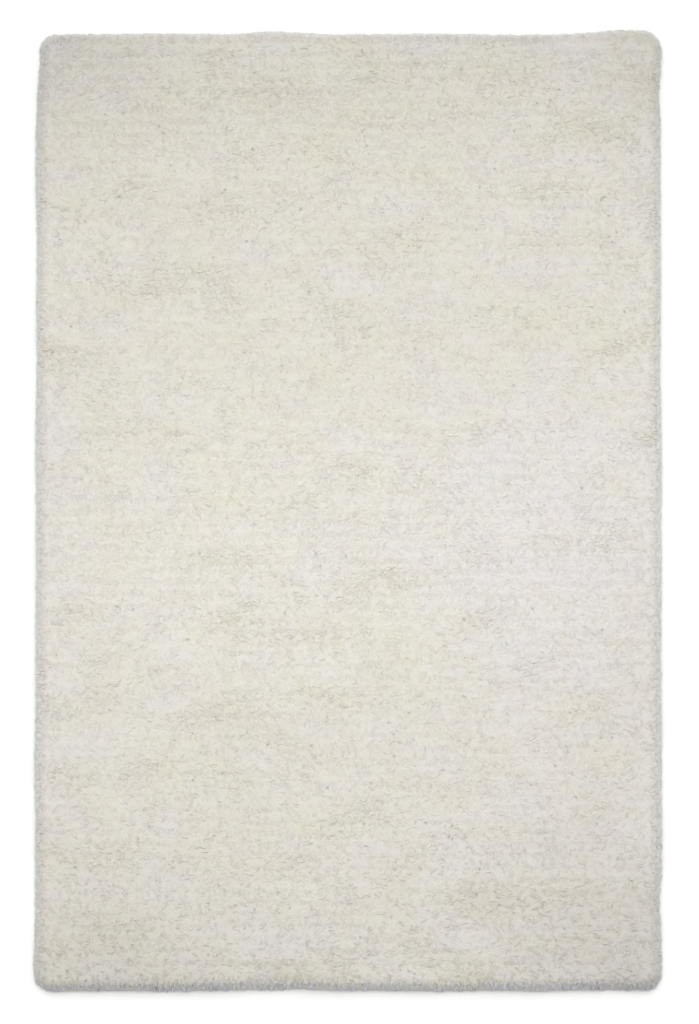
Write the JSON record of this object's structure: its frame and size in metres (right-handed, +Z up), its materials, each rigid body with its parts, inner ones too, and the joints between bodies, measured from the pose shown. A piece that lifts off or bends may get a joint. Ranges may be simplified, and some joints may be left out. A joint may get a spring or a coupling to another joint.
{
  "type": "shag rug",
  "caption": "Rectangular ivory shag rug with thick lumpy pile and loose locks splayed over its rim, lying flat on a floor.",
  "frame": {"origin": "middle of the flat underside, on the floor", "axes": "+X across the width and along the tuft rows, +Y along the length towards the end that is at the top of the picture, +Z up out of the pile"},
  "size_m": [1.5248, 2.3658, 0.0454],
  "materials": {
    "ivory_pile": "matt wool shag pile"
  },
  "bodies": {
    "root": {"shag_rug": "ivory_pile"}
  },
  "joints": []
}
